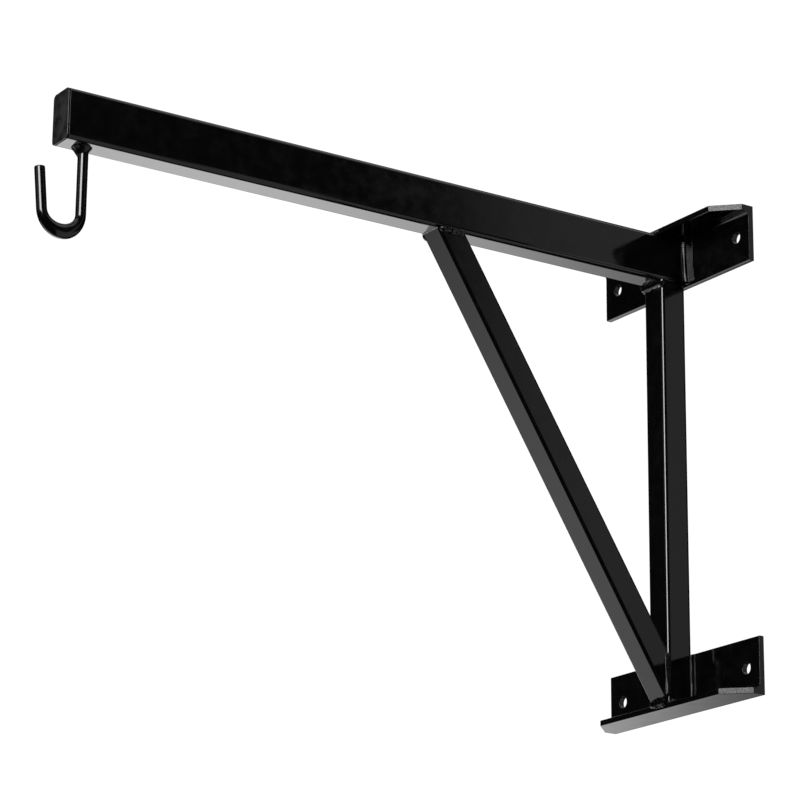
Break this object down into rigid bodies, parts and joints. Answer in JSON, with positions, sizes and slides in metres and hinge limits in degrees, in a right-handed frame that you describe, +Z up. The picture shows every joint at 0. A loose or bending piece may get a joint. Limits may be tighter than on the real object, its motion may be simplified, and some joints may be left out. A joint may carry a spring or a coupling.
{
  "type": "punch bag wall bracket",
  "caption": "Welded steel wall bracket for a punch bag: box-section arm with a diagonal brace, drilled angle-iron feet, a hanging hook and an end cap.",
  "frame": {"origin": "centre of the four wall bolt holes, on the wall plane", "axes": "+Z up, +Y into the wall, so the arm reaches out along -Y; X runs along the wall"},
  "size_m": [0.236, 0.7435, 0.5],
  "materials": {
    "black_paint": "gloss black paint over steel",
    "painted_weld": "gloss black paint over rippled weld beads",
    "cap_plastic": "fine-grained black polyethylene"
  },
  "bodies": {
    "root": {"arm_end_cap": "cap_plastic", "arm_flange_weld": "painted_weld", "arm_foot_weld_left": "painted_weld", "arm_foot_weld_right": "painted_weld", "arm_tube": "black_paint", "bag_hook": "black_paint", "brace_foot_weld_left": "painted_weld", "brace_foot_weld_right": "painted_weld", "brace_head_weld": "painted_weld", "brace_head_weld_left": "painted_weld", "brace_head_weld_right": "painted_weld", "brace_toe_weld": "painted_weld", "brace_tube": "black_paint", "hook_weld": "painted_weld", "lower_angle": "black_paint", "upper_angle": "black_paint", "upright_base_weld_left": "painted_weld", "upright_base_weld_right": "painted_weld", "upright_foot_weld_left": "painted_weld", "upright_foot_weld_right": "painted_weld", "upright_head_weld": "painted_weld", "upright_tube": "black_paint"}
  },
  "joints": []
}
